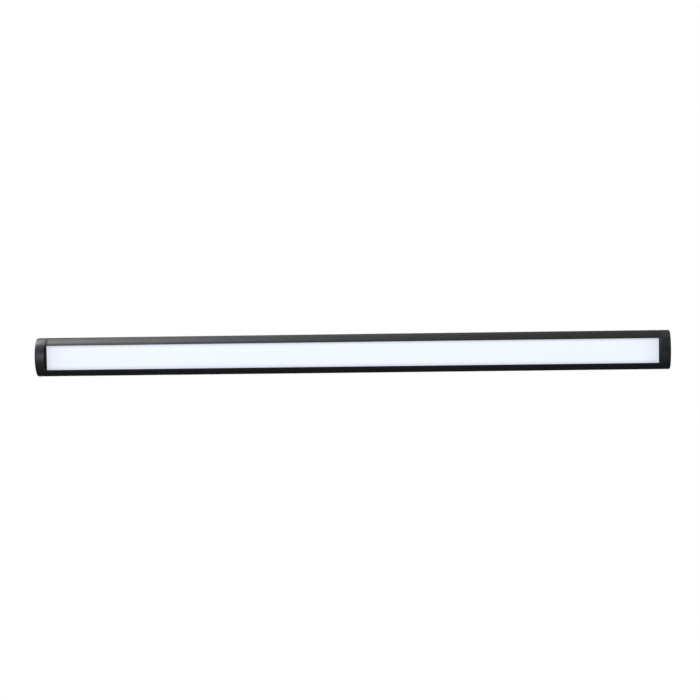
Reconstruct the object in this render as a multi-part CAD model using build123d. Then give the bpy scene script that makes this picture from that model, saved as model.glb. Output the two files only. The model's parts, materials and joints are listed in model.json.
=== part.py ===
from build123d import *
import math
import os

# A slim LED vanity light bar that hangs on a flat wall plate.
# X runs along the bar, -Y points from the wall into the room and Z is up.
# The origin is on the wall plane, at the middle of the wall plate.
# Depths are given as f, the distance in front of the wall, so y = -f.

# ---- driving dimensions, in millimetres ----
BAR_LENGTH = 610.0
BAR_HEIGHT = 37.2
BAR_DEPTH = 38.0          # wall to the crown of the end caps
CROWN_DEPTH = 14.0        # crown of the end caps back to their widest line
CAP_DOME = 8.9            # length of each cap that has the full domed section
CAP_RAMP = 2.15           # length of the slope from the dome down to the lips
GASKET = 0.6              # thickness of the gasket behind each cap
APERTURE = 23.7           # clear height between the two front lips
LIP_STEP = 0.7            # how much less the housing is crowned than its caps
LIP_RADIUS = 0.3          # rounding of the lips' front edges
SPINE_HEIGHT = 30.0       # height of the narrower rear half of the bar
WALL_GAP = 2.0            # shadow gap between the wall and the bar's rear edge
HANG_LIFT = 6.0           # upward travel that frees the bar from its hooks

# ---- heights, half heights and lengths worked out from them ----
HALF = BAR_HEIGHT / 2
SPINE = SPINE_HEIGHT / 2
LIP = APERTURE / 2
END = BAR_LENGTH / 2
CAP_INNER = END - CAP_DOME - CAP_RAMP
HOUSING_END = CAP_INNER - GASKET
DIFFUSER_END = CAP_INNER - 0.1

# ---- depths, from the wall forward ----
PLATE = 1.5
COVER_REAR = 3.2
COVER_FRONT = 4.4
RAIL_FRONT = 9.0
WEB_REAR = 20.0
WEB_FRONT = 22.0
WIDEST = BAR_DEPTH - CROWN_DEPTH
SHOULDER = math.degrees(math.asin(LIP / HALF))   # where each lip ends, round the domed section
LIP_EDGE = WIDEST + (CROWN_DEPTH - LIP_STEP) * math.cos(math.radians(SHOULDER))
FLARE_REAR = 16.5         # where the narrow rear half starts to widen
FLARE_FRONT = 20.0        # where it reaches the full height
DIFFUSER_FACE = LIP_EDGE - 0.6
DIFFUSER_SKIN = 1.8
FLANGE_REAR = 28.6
FLANGE_FRONT = 30.0
FLANGE_PLAY = 0.2
FLANGE_REACH = 1.15       # how far each diffuser flange reaches behind its lip
DIFFUSER_LEG = 1.5        # thickness of the diffuser's side legs
DIFFUSER_PLAY = 0.15      # gap between the diffuser and each lip

# ---- housing walls ----
SPINE_WALL = 1.6
CHAMBER = SPINE - SPINE_WALL
RAIL_INNER = 9.2
CAVITY = 11.0
PORTS = [(6.7, 11.3), (25.0, 13.8)]      # (f, z) of the upper screw ports
PORT_RADIUS = 1.5
CORE_HOLE = (21.3, 15.9)
CORE_RADIUS = 1.4
EDGE_RADIUS = 1.2
COVER_PILOT = (1.0, 3.4)  # radius and depth of the rear cover's screw holes

# ---- end caps ----
CAP_WALL = 2.4
CAP_END_WALL = 2.0
POST_RADIUS = 3.2
CAP_SCREW_LENGTH = 20.0
GASKET_INSET = 0.5        # how far the gasket stays inside the outline

# ---- light engine ----
PAD = 0.5
BOARD = 1.6
BOARD_HALF = 9.5
BOARD_END = 287.0
BOARD_GAP = 1.0
BOARD_FRONT = WEB_FRONT + PAD + BOARD
LED_PITCH = 12.0
LED_COUNT = 24
LED_SIZE = (3.5, 2.8, 0.7)
BOARD_SCREW_X = [36.0, 132.0, 228.0]
BOARD_SCREW_Z = 6.0
BOARD_SCREW_BITE = 1.8    # thread length in the web
REFLECTOR = 0.5
REFLECTOR_PLAY = 0.05
WELL_RADIUS = 1.1         # lens well in each LED package
WELL_DEPTH = 0.2
LINK_HALF = 7.0
LINK_Z = (4.0, 8.0)
LINK_DEPTH = 1.6
LINK_RIB = 0.6

# ---- places along the bar ----
HOOK_X = 225.0
WALL_SCREW_X = 200.0
CABLE_X = -175.0
WINDOW = (-200.0, -100.0)
BLOCK = (-130.0, -106.0)
EARTH_X = -72.0
DRIVER = (-20.0, 170.0)
LED_LEAD_X = 192.0
COVER_SCREW_X = [-265.0, -88.0, 88.0, 265.0]
COVER_SCREW_Z = 11.2

# ---- wall plate and hooks ----
PLATE_END = 250.0
PLATE_HALF = 13.0
PLATE_CORNER = 4.0
HOOK_WIDTH = 14.0
HOOK_TOP = 2.0
HOOK_LIP = 4.0
HOOK_REACH = 7.4
HOOK_WINDOW = 10.3        # height of the opening each hook is lanced from
HOOK_SIDE_CUT = 0.6
HOOK_BEND = 1.2
WALL_HOLE = 2.25
GROMMET_HOLE = 5.6
GROMMET_BORE = 4.5
GROMMET_FLANGE = 6.9
GROMMET_FLANGE_DEPTH = 1.3
SLOT_SIDE_PLAY = 1.0
SLOT_REST = 0.05
SLOT_PLAY = 0.3
SLOT_CORNER = 1.0
WINDOW_HALF = 7.0
WINDOW_CORNER = 3.0
COVER_PLAY = 0.2          # gap all round the rear cover's sides
COVER_END_PLAY = 0.5
COVER_SCREW_LENGTH = 4.0

# ---- wiring ----
POLE_PITCH = 5.3
BLOCK_HALF = 8.4
BLOCK_REAR = 9.4
BLOCK_EAR = 7.0
BLOCK_EAR_HALF = 4.0
EAR_THICK = 1.6
CLAMP_LENGTH_PLAY = 2.0   # block wall outside each clamp
CLAMP_HALF = 2.0
CLAMP_HALF_DEPTH = 2.4
CLAMP_BORE = 1.5
CLAMP_PLAY = 0.1
CLAMP_SCREW = 1.25
CLAMP_SCREW_SPREAD = 5.5
SCREW_WELL = 1.6
CLAMP_F = 14.0
MAINS_LEAD = 1.1
LED_LEAD = 0.8
LEAD_PLAY = 0.2           # gap round a lead where it passes a wall
LED_LEAD_SPREAD = 1.6
LEAD_F = 13.0             # depth of the leads at the driver's ends
MAINS_ENTRY_Z = 3.5
LUG_F = 18.3              # depth of the earth lug's barrel
LUG_THICK = 0.8
LUG_BARREL = 12.0         # far end of the barrel, measured from the earth screw
LUG_NECK = 5.5
LED_BUSH = 4.0            # radius of the LED leads' bush in the web
LED_BUSH_FLANGE = 5.4
LED_BUSH_FLANGE_DEPTH = 1.3

# ---- driver ----
DRIVER_HALF = 10.6
DRIVER_REAR = 9.4
DRIVER_WALL = 1.2
EAR_LENGTH = 8.0
EAR_Z = (3.0, DRIVER_HALF)
DRIVER_BOARD = (17.0, 18.2)
DRIVER_BOARD_HALF = 9.2
DRIVER_BOARD_MARGIN = 2.0
RIB_Z = 6.0               # inner side of the ribs that hold the board
LID_PLAY = 0.15
LID_RIM = 1.0
LID_RIM_DEPTH = 0.7
LID_EDGE = 0.5
TRANSFORMER_X = 78.0
TRANSFORMER_REAR = 11.6
CAN_RADIUS = 2.9
EAR_SCREW_LENGTH = 3.4
EARTH_SCREW_LENGTH = 2.6

# ---- screws: (shank radius, head radius, head height) ----
M3 = (1.45, 2.5, 1.7)
M3_THREAD_HOLE = 1.5
M3_CLEARANCE = 1.7
M2_COUNTERSUNK = (0.95, 1.8, 1.0)
HEAD_PLAY = 0.2           # gap round and above a sunk screw head
CAP_SCREW_SINK = M3[2] + HEAD_PLAY
RECESS_WIDTH = 0.6

FORWARD = (0, -1, 0)
BACKWARD = (0, 1, 0)
TOWARDS_LEFT = (-1, 0, 0)


# ---- helpers ----
def section_at(x):
    """Plane across the bar at x, its first axis forward from the wall and its second up."""
    return Plane(origin=(x, 0, 0), x_dir=(0, -1, 0), z_dir=(-1, 0, 0))


def block(x_range, f_range, z_range):
    """Box between two values along the bar, two depths and two heights."""
    spans = [abs(b - a) for a, b in (x_range, f_range, z_range)]
    middles = [(a + b) / 2 for a, b in (x_range, f_range, z_range)]
    return Pos(middles[0], -middles[1], middles[2]) * Box(*spans)


def pin(radius, x, z, f_range):
    """Round bar that runs straight out from the wall."""
    rear, front = f_range
    return Pos(x, -(rear + front) / 2, z) * Rot(90, 0, 0) * Cylinder(radius, front - rear)


def rod(radius, f, z, x_range):
    """Round bar along the light."""
    low, high = x_range
    return Pos((low + high) / 2, -f, z) * Rot(0, 90, 0) * Cylinder(radius, high - low)


def both(solid):
    """The solid and its mirror image below the bar's middle."""
    return solid + mirror(solid, about=Plane.XY)


def group(solids):
    """Several separate solids that share one node."""
    return Compound(list(solids))


def drive_recess(reach, depth):
    """Crossed recess for a driver bit, its top at the origin."""
    arms = Box(2 * reach, RECESS_WIDTH, depth) + Box(RECESS_WIDTH, 2 * reach, depth)
    return Pos(0, 0, -depth / 2) * arms


def pan_screw(kind, length):
    """Pan-head screw along Z, its head standing on the origin."""
    shank_radius, head_radius, head_height = kind
    head = Pos(0, 0, head_height / 2) * Cylinder(head_radius, head_height)
    head = fillet(head.edges().sort_by(Axis.Z)[-1], head_height * 0.45)
    shank = Pos(0, 0, -length / 2) * Cylinder(shank_radius, length)
    recess = Pos(0, 0, head_height) * drive_recess(head_radius * 0.5, head_height * 0.5)
    return head + shank - recess


def flat_screw(kind, length):
    """Countersunk screw along Z, the top of its head at the origin."""
    shank_radius, head_radius, head_height = kind
    head = Pos(0, 0, -head_height / 2) * Cone(shank_radius, head_radius, head_height)
    shank = Pos(0, 0, -length / 2) * Cylinder(shank_radius, length)
    return head + shank - drive_recess(head_radius * 0.55, head_height * 0.45)


def placed(solid, x, f, z, direction):
    """The solid with its Z axis turned to a direction and its origin at a point."""
    return Plane(origin=(x, -f, z), z_dir=direction) * solid


def lead(radius, route):
    """Insulated lead along straight runs that are joined by tangent arcs."""
    points = [Vector(x, -f, z) for x, f, z in route]
    runs = [b - a for a, b in zip(points, points[1:])]
    radii = []
    for before, after in zip(runs, runs[1:]):
        half_turn = math.radians(before.get_angle(after)) / 2
        radii.append(0.45 * min(before.length, after.length) / math.tan(half_turn))
    print("lead radii", [round(r, 1) for r in radii])
    path = FilletPolyline(*points, radius=radii)
    start = Plane(origin=points[0], z_dir=runs[0])
    return sweep(start * Circle(radius), path=path)


# ---- outer sections ----
def rear_outline(inset=0.0):
    """Edges round the back of the bar, from the lower widest corner to the upper one."""
    spine = SPINE - inset
    half = HALF - inset
    upper = [(WALL_GAP + inset, spine), (FLARE_REAR, spine), (FLARE_FRONT, half), (WIDEST, half)]
    lower = [(f, -z) for f, z in reversed(upper)]
    return Polyline(*lower, *upper).edges()


def domed_arc(crown, half, start, stop):
    """Part of the half-ellipse in front of the widest line, between two angles round it."""
    return EllipticalCenterArc((WIDEST, 0), crown, half, start_angle=start, arc_size=stop - start).edges()


def housing_outline(inset=0.0):
    """Section of the bar: two domed lips, joined straight across the aperture."""
    crown = CROWN_DEPTH - LIP_STEP - inset
    half = HALF - inset
    shoulder = math.degrees(math.asin(LIP / half))
    edge = WIDEST + crown * math.cos(math.radians(shoulder))
    lower = domed_arc(crown, half, -90, -shoulder)
    across = Line((edge, -LIP), (edge, LIP)).edges()
    upper = domed_arc(crown, half, shoulder, 90)
    return make_face([*rear_outline(inset), *lower, *across, *upper])


def dome_outline():
    """Section of an end cap: the same back with a whole half-ellipse in front."""
    stops = [-90, -SHOULDER, SHOULDER, 90]
    arcs = []
    for start, stop in zip(stops, stops[1:]):
        arcs.extend(domed_arc(CROWN_DEPTH, HALF, start, stop))
    return make_face([*rear_outline(), *arcs])


def port_rods(radius, x_range):
    """One rod in each of the four screw ports."""
    return [rod(radius, f, side * z, x_range) for f, z in PORTS for side in (1, -1)]


# ---- bar shell ----
def make_housing():
    """Extruded body: rear chamber, web, light cavity, diffuser grooves and screw ports."""
    run = (-HOUSING_END, HOUSING_END)
    body = extrude(section_at(HOUSING_END) * housing_outline(), 2 * HOUSING_END)
    body -= block(run, (0, WEB_REAR), (-CHAMBER, CHAMBER))
    body += both(block(run, (COVER_FRONT, RAIL_FRONT), (RAIL_INNER, CHAMBER)))
    body -= block(run, (WEB_FRONT, FLANGE_REAR - FLANGE_PLAY), (-CAVITY, CAVITY))
    groove = LIP + FLANGE_REACH + FLANGE_PLAY
    body -= block(run, (FLANGE_REAR - FLANGE_PLAY, FLANGE_FRONT + FLANGE_PLAY), (-groove, groove))
    body -= block(run, (FLANGE_FRONT, BAR_DEPTH), (-LIP, LIP))
    lip_edges = body.edges().filter_by(Axis.X).group_by(Axis.Y)[0]
    body = fillet(lip_edges, LIP_RADIUS)
    for port in port_rods(PORT_RADIUS, run):
        body -= port
    for side in (1, -1):
        body -= rod(CORE_RADIUS, CORE_HOLE[0], side * CORE_HOLE[1], run)
    web = (WEB_REAR - 1, WEB_FRONT + 1)
    for x, z in board_screw_places():
        body -= pin(M3_THREAD_HOLE, x, z, web)
    for x, z in rear_web_screws():
        body -= pin(M3_THREAD_HOLE, x, z, web)
    body -= pin(LED_BUSH, LED_LEAD_X, 0, web)
    pilot_radius, pilot_depth = COVER_PILOT
    for x, z in cover_screw_places():
        body -= pin(pilot_radius, x, z, (COVER_FRONT, COVER_FRONT + pilot_depth))
    return body


def make_diffuser():
    """Opal cover: a flat face with two side legs whose flanges slide in the housing's grooves."""
    run = (-DIFFUSER_END, DIFFUSER_END)
    face_half = LIP - DIFFUSER_PLAY
    inner = DIFFUSER_FACE - DIFFUSER_SKIN
    face = block(run, (inner, DIFFUSER_FACE), (-face_half, face_half))
    face = fillet(face.edges().filter_by(Axis.X).group_by(Axis.Y)[0], 0.4)
    legs = both(block(run, (FLANGE_REAR, inner), (face_half - DIFFUSER_LEG, face_half)))
    flanges = both(block(run, (FLANGE_REAR, FLANGE_FRONT), (face_half, LIP + FLANGE_REACH)))
    return face + legs + flanges


def cap_pocket():
    """Hollow behind the cap's walls, open towards the bar, less the four screw posts."""
    upper = [
        (WALL_GAP + CAP_WALL, SPINE - CAP_WALL),
        (FLARE_REAR + CAP_WALL / 2, SPINE - CAP_WALL),
        (FLARE_FRONT + CAP_WALL / 2, HALF - CAP_WALL),
        (WIDEST, HALF - CAP_WALL),
        (LIP_EDGE - CAP_WALL, LIP - CAP_WALL / 2),
    ]
    lower = [(f, -z) for f, z in reversed(upper)]
    outline = make_face(Polyline(*upper, *lower, upper[0]).edges())
    pocket = extrude(section_at(-CAP_INNER) * outline, CAP_DOME + CAP_RAMP - CAP_END_WALL)
    for post in port_rods(POST_RADIUS, (-END, -CAP_INNER)):
        pocket -= post
    return pocket


def make_end_cap():
    """Left end cap: dome, slope down to the lips, hollow inner side and four screw posts."""
    dome_start = CAP_INNER + CAP_RAMP
    dome = extrude(section_at(-dome_start) * dome_outline(), CAP_DOME)
    sections = [section_at(-CAP_INNER) * housing_outline(), section_at(-dome_start) * dome_outline()]
    cap = dome + loft(sections, ruled=True)
    end_face = cap.faces().sort_by(Axis.X)[0]
    cap = fillet(end_face.edges(), EDGE_RADIUS) - cap_pocket()
    for hole in port_rods(M3_CLEARANCE, (-END, -CAP_INNER)):
        cap -= hole
    for seat in port_rods(M3[1] + HEAD_PLAY, (-END, -END + CAP_SCREW_SINK)):
        cap -= seat
    return cap


def make_end_gasket():
    """Left gasket: a thin sheet inside the housing's outline, open round the diffuser's end."""
    sheet = extrude(section_at(-HOUSING_END) * housing_outline(GASKET_INSET), GASKET)
    run = (-CAP_INNER, -HOUSING_END)
    groove = LIP + FLANGE_REACH + FLANGE_PLAY
    sheet -= block(run, (FLANGE_REAR - FLANGE_PLAY, BAR_DEPTH), (-groove, groove))
    for hole in port_rods(M3_CLEARANCE, run):
        sheet -= hole
    return sheet


def make_end_cap_screws():
    """Four long screws through the left cap into the housing's ports."""
    screw = pan_screw(M3, CAP_SCREW_LENGTH)
    seat = -END + CAP_SCREW_SINK
    return [placed(screw, seat, f, side * z, TOWARDS_LEFT) for f, z in PORTS for side in (1, -1)]


# ---- light engine ----
def board_screw_places():
    """Board screws, above and below the row of LEDs in turn."""
    places = []
    for index, x in enumerate(BOARD_SCREW_X):
        z = BOARD_SCREW_Z if index % 2 else -BOARD_SCREW_Z
        places += [(x, z), (-x, z)]
    return places


def rear_web_screws():
    """Screws driven from behind: the driver's two ears, the terminal block and the earth."""
    ear_z = sum(EAR_Z) / 2
    ear_middle = EAR_LENGTH / 2
    return [(DRIVER[0] - ear_middle, ear_z), (DRIVER[1] + ear_middle, ear_z), (BLOCK[1] + BLOCK_EAR / 2, 0),
            (EARTH_X, 0)]


def make_thermal_pad():
    pad = block((-BOARD_END, BOARD_END), (WEB_FRONT, WEB_FRONT + PAD), (-BOARD_HALF, BOARD_HALF))
    for x, z in board_screw_places():
        pad -= pin(M3_CLEARANCE, x, z, (WEB_FRONT, WEB_FRONT + PAD))
    return pad - pin(LED_BUSH, LED_LEAD_X, 0, (WEB_FRONT, WEB_FRONT + PAD))


def make_led_board(side):
    """One of two metal-core boards, left (-1) or right (1)."""
    ends = sorted((side * BOARD_GAP / 2, side * BOARD_END))
    depth = (WEB_FRONT + PAD, BOARD_FRONT)
    board = block(ends, depth, (-BOARD_HALF, BOARD_HALF))
    for x, z in board_screw_places():
        if x * side > 0:
            board -= pin(M3_CLEARANCE, x, z, depth)
    if side > 0:
        for z in (-LED_LEAD_SPREAD, LED_LEAD_SPREAD):
            board -= pin(LED_LEAD + LEAD_PLAY, LED_LEAD_X, z, depth)
    return board


def make_led_packages(side):
    """Row of LED packages on one board, each with a shallow round lens well."""
    length, height, depth = LED_SIZE
    package = Box(length, depth, height)
    package -= Pos(0, -depth / 2, 0) * Rot(90, 0, 0) * Cylinder(WELL_RADIUS, 2 * WELL_DEPTH)
    first = LED_PITCH / 2
    f = BOARD_FRONT + depth / 2
    return [Pos(side * (first + LED_PITCH * index), -f, 0) * package for index in range(LED_COUNT)]


def make_board_link():
    """Connector that bridges the two boards, with a rib along its top."""
    top = BOARD_FRONT + LINK_DEPTH
    low, high = LINK_Z
    rib_side = (high - low) / 3
    base = block((-LINK_HALF, LINK_HALF), (BOARD_FRONT, top), LINK_Z)
    rib_end = LINK_HALF - rib_side
    return base + block((-rib_end, rib_end), (top, top + LINK_RIB), (low + rib_side, high - rib_side))


def make_board_screws():
    screw = pan_screw(M3, BOARD + PAD + BOARD_SCREW_BITE)
    return [placed(screw, x, BOARD_FRONT, z, FORWARD) for x, z in board_screw_places()]


def make_reflector(side):
    """White strip along one side wall of the light cavity."""
    wall_side = CAVITY - REFLECTOR_PLAY
    heights = sorted((side * wall_side, side * (wall_side - REFLECTOR)))
    depth = (WEB_FRONT + REFLECTOR_PLAY, FLANGE_REAR - FLANGE_PLAY - REFLECTOR_PLAY)
    return block((-BOARD_END, BOARD_END), depth, heights)


# ---- driver ----
def make_driver_tray():
    """Tray against the web, open to the rear, with an ear at each end and two board ribs."""
    floor_rear = WEB_REAR - DRIVER_WALL
    inner_x = (DRIVER[0] + DRIVER_WALL, DRIVER[1] - DRIVER_WALL)
    inner_half = DRIVER_HALF - DRIVER_WALL
    lid_front = DRIVER_REAR + DRIVER_WALL
    tray = block(DRIVER, (lid_front, WEB_REAR), (-DRIVER_HALF, DRIVER_HALF))
    tray -= block(inner_x, (lid_front, floor_rear), (-inner_half, inner_half))
    tray += both(block(inner_x, (DRIVER_BOARD[1], floor_rear), (RIB_Z, inner_half)))
    for x, outer in ((DRIVER[0], DRIVER[0] - EAR_LENGTH), (DRIVER[1], DRIVER[1] + EAR_LENGTH)):
        tray += block(sorted((x, outer)), (WEB_REAR - EAR_THICK, WEB_REAR), EAR_Z)
    for x, z in rear_web_screws()[:2]:
        tray -= pin(M3_CLEARANCE, x, z, (WEB_REAR - 2, WEB_REAR))
    for z in (MAINS_ENTRY_Z, -MAINS_ENTRY_Z):
        tray -= rod(MAINS_LEAD + LEAD_PLAY, LEAD_F, z, (DRIVER[0], inner_x[0]))
    for z in (LED_LEAD_SPREAD, -LED_LEAD_SPREAD):
        tray -= rod(LED_LEAD + LEAD_PLAY, LEAD_F, z, (inner_x[1], DRIVER[1]))
    return tray


def make_driver_cover():
    """Lid with a locating rim that drops inside the tray."""
    lid_front = DRIVER_REAR + DRIVER_WALL
    rim_depth = (lid_front, lid_front + LID_RIM_DEPTH)
    outer_x = (DRIVER[0] + DRIVER_WALL + LID_PLAY, DRIVER[1] - DRIVER_WALL - LID_PLAY)
    outer_z = DRIVER_HALF - DRIVER_WALL - LID_PLAY
    inner_x = (outer_x[0] + LID_RIM, outer_x[1] - LID_RIM)
    inner_z = outer_z - LID_RIM
    lid = block(DRIVER, (DRIVER_REAR, lid_front), (-DRIVER_HALF, DRIVER_HALF))
    lid = fillet(lid.edges().group_by(Axis.Y)[-1], LID_EDGE)
    rim = block(outer_x, rim_depth, (-outer_z, outer_z))
    return lid + rim - block(inner_x, rim_depth, (-inner_z, inner_z))


def make_driver_board():
    ends = (DRIVER[0] + DRIVER_BOARD_MARGIN, DRIVER[1] - DRIVER_BOARD_MARGIN)
    return block(ends, DRIVER_BOARD, (-DRIVER_BOARD_HALF, DRIVER_BOARD_HALF))


def make_driver_transformer():
    """Flat transformer: a ferrite core round a taped winding."""
    x = TRANSFORMER_X
    rear = TRANSFORMER_REAR
    foot = DRIVER_BOARD[0]
    core_half, limb, core_z = 10.0, 3.4, 7.5
    gap, winding_z, winding_corner = 0.2, 8.4, 1.2
    inner = core_half - limb
    core = block((x - core_half, x + core_half), (rear, foot), (-core_z, core_z))
    core -= block((x - inner, x + inner), (rear + 1.2, foot - 1.0), (-core_z, core_z))
    side = inner - 2 * gap
    winding = block((x - side, x + side), (rear + 1.2 + gap, foot - 1.0 - gap), (-winding_z, winding_z))
    winding = fillet(winding.edges().filter_by(Axis.Z), winding_corner)
    return [core, winding]


def make_driver_capacitors():
    """Three electrolytic cans lying on the board."""
    f = DRIVER_BOARD[0] - CAN_RADIUS
    edge, vent_depth = 0.5, 0.3
    cans = []
    for x, z, length in ((26, 4.6, 18), (26, -4.6, 18), (134, -4.2, 14)):
        can = rod(CAN_RADIUS, f, z, (x, x + length))
        can = fillet(can.edges().filter_by(GeomType.CIRCLE), edge)
        cans.append(can - rod(CAN_RADIUS * 0.6, f, z, (x + length - vent_depth, x + length)))
    return cans


def make_driver_components():
    """Fuse, rectifier, choke, switching chips and resistors on the driver board."""
    top = DRIVER_BOARD[0]
    fuse = 1.6
    parts = [rod(fuse, top - fuse, 0, (-8, 2))]
    for x, z, length, height, depth in (
            (10, 0, 7, 9, 2.6),          # rectifier
            (53, 0, 9, 12, 5.0),         # choke
            (98, 5, 6, 5, 1.6),          # controller chip
            (98, -4, 6, 7, 2.2),         # switching transistor
            (114, 0, 8, 10, 2.4),        # output diode
            (134, 4.5, 10, 5, 4.4),      # film capacitor
            (156, -5, 4, 2.4, 1.0),      # sense resistor
            (156, 5, 4, 2.4, 1.0)):      # bleed resistor
        parts.append(block((x, x + length), (top - depth, top), (z - height / 2, z + height / 2)))
    return parts


def make_driver_screws():
    screw = pan_screw(M3, EAR_SCREW_LENGTH)
    return [placed(screw, x, WEB_REAR - EAR_THICK, z, BACKWARD) for x, z in rear_web_screws()[:2]]


# ---- wiring ----
def pole_places():
    """Heights of the live, earth and neutral poles."""
    return [POLE_PITCH, 0.0, -POLE_PITCH]


def clamp_screw_places():
    """Places along the bar of the two screws in each clamp."""
    middle = sum(BLOCK) / 2
    return [middle - CLAMP_SCREW_SPREAD, middle + CLAMP_SCREW_SPREAD]


def make_terminal_block():
    """Three-pole block with through channels, screw wells, two grooves and a fixing ear."""
    body = block(BLOCK, (BLOCK_REAR, WEB_REAR), (-BLOCK_HALF, BLOCK_HALF))
    body = fillet(body.edges().group_by(Axis.Y)[-1], 0.6)
    ends = (BLOCK[0] + CLAMP_LENGTH_PLAY, BLOCK[1] - CLAMP_LENGTH_PLAY)
    half_z = CLAMP_HALF + CLAMP_PLAY
    half_f = CLAMP_HALF_DEPTH + CLAMP_PLAY
    for z in pole_places():
        body -= block(ends, (CLAMP_F - half_f, CLAMP_F + half_f), (z - half_z, z + half_z))
        body -= rod(MAINS_LEAD + LEAD_PLAY, CLAMP_F, z, BLOCK)
        for x in clamp_screw_places():
            body -= pin(SCREW_WELL, x, z, (BLOCK_REAR, CLAMP_F - CLAMP_HALF_DEPTH))
    groove_depth, groove_half = 1.2, 0.3
    for z in (POLE_PITCH / 2, -POLE_PITCH / 2):
        body -= block(BLOCK, (BLOCK_REAR, BLOCK_REAR + groove_depth), (z - groove_half, z + groove_half))
    ear = (WEB_REAR - EAR_THICK, WEB_REAR)
    body += block((BLOCK[1], BLOCK[1] + BLOCK_EAR), ear, (-BLOCK_EAR_HALF, BLOCK_EAR_HALF))
    return body - pin(M3_CLEARANCE, BLOCK[1] + BLOCK_EAR / 2, 0, ear)


def make_terminal_clamps():
    """Brass sleeve in each pole."""
    ends = (BLOCK[0] + CLAMP_LENGTH_PLAY + CLAMP_PLAY, BLOCK[1] - CLAMP_LENGTH_PLAY - CLAMP_PLAY)
    clamp_rear = CLAMP_F - CLAMP_HALF_DEPTH
    clamps = []
    for z in pole_places():
        clamp = block(ends, (clamp_rear, CLAMP_F + CLAMP_HALF_DEPTH), (z - CLAMP_HALF, z + CLAMP_HALF))
        clamp -= rod(CLAMP_BORE, CLAMP_F, z, BLOCK)
        for x in clamp_screw_places():
            clamp -= pin(CLAMP_SCREW + 0.05, x, z, (clamp_rear, CLAMP_F))
        clamps.append(clamp)
    return clamps


def make_terminal_screws():
    """Six slotted clamp screws."""
    slot_depth, slot_half = 0.4, 0.2
    rear = BLOCK_REAR + 0.5
    screws = []
    for z in pole_places():
        for x in clamp_screw_places():
            screw = pin(CLAMP_SCREW, x, z, (rear, CLAMP_F - 1.0))
            slot_run = (x - SCREW_WELL, x + SCREW_WELL)
            slot = block(slot_run, (rear, rear + slot_depth), (z - slot_half, z + slot_half))
            screws.append(screw - slot)
    return screws


def make_terminal_block_screw():
    screw = pan_screw(M3, EAR_SCREW_LENGTH)
    return placed(screw, BLOCK[1] + BLOCK_EAR / 2, WEB_REAR - EAR_THICK, 0, BACKWARD)


def make_mains_lead(side):
    """Live (1) or neutral (-1) lead from the terminal block to the driver."""
    start = BLOCK[1] - 2.0
    sag = 0.9 if side > 0 else 1.6
    route = [(start, CLAMP_F, side * POLE_PITCH),
             (start + 18, CLAMP_F, side * POLE_PITCH),
             (start + 43, CLAMP_F - sag, side * (POLE_PITCH + 1.6)),
             (DRIVER[0] - 16, LEAD_F, side * MAINS_ENTRY_Z),
             (DRIVER[0] + 2.5, LEAD_F, side * MAINS_ENTRY_Z)]
    return lead(MAINS_LEAD, route)


def make_earth_lead():
    """Lead from the middle pole down to the ring lug on the web."""
    start = BLOCK[1] - 2.0
    lug_end = EARTH_X - LUG_BARREL
    route = [(start, CLAMP_F, 0), (start + 12, CLAMP_F, 0), (lug_end - 7, LUG_F, 0), (lug_end, LUG_F, 0)]
    return lead(MAINS_LEAD, route)


def make_earth_lug():
    """Ring lug: a flat ring under the earth screw and a crimped barrel on the lead."""
    ring_radius, neck_half, barrel_radius = 4.0, 1.6, 1.7
    depth = (WEB_REAR - LUG_THICK, WEB_REAR)
    ring = pin(ring_radius, EARTH_X, 0, depth)
    ring += block((EARTH_X - ring_radius - 3, EARTH_X), depth, (-neck_half, neck_half))
    barrel = rod(barrel_radius, LUG_F, 0, (EARTH_X - LUG_BARREL, EARTH_X - LUG_NECK))
    return ring + barrel - pin(M3_CLEARANCE, EARTH_X, 0, depth)


def make_earth_screw():
    return placed(pan_screw(M3, EARTH_SCREW_LENGTH), EARTH_X, WEB_REAR - LUG_THICK, 0, BACKWARD)


def make_led_lead(side):
    """Red (1) or black (-1) lead from the driver through the web to the right board."""
    z = side * LED_LEAD_SPREAD
    tip = BOARD_FRONT + 0.4
    route = [(DRIVER[1] - 2.5, LEAD_F, z), (LED_LEAD_X, LEAD_F, z), (LED_LEAD_X, tip, z)]
    return lead(LED_LEAD, route)


def make_led_lead_grommet():
    """Bush in the web with a bore for each LED lead."""
    bush = pin(LED_BUSH - 0.05, LED_LEAD_X, 0, (WEB_REAR, WEB_FRONT))
    flange_rear = WEB_REAR - LED_BUSH_FLANGE_DEPTH
    bush += pin(LED_BUSH_FLANGE, LED_LEAD_X, 0, (flange_rear, WEB_REAR))
    for z in (LED_LEAD_SPREAD, -LED_LEAD_SPREAD):
        bush -= pin(LED_LEAD + 0.05, LED_LEAD_X, z, (flange_rear, WEB_FRONT))
    return bush


# ---- rear cover ----
def cover_screw_places():
    return [(x, side * COVER_SCREW_Z) for x in COVER_SCREW_X for side in (1, -1)]


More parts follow.
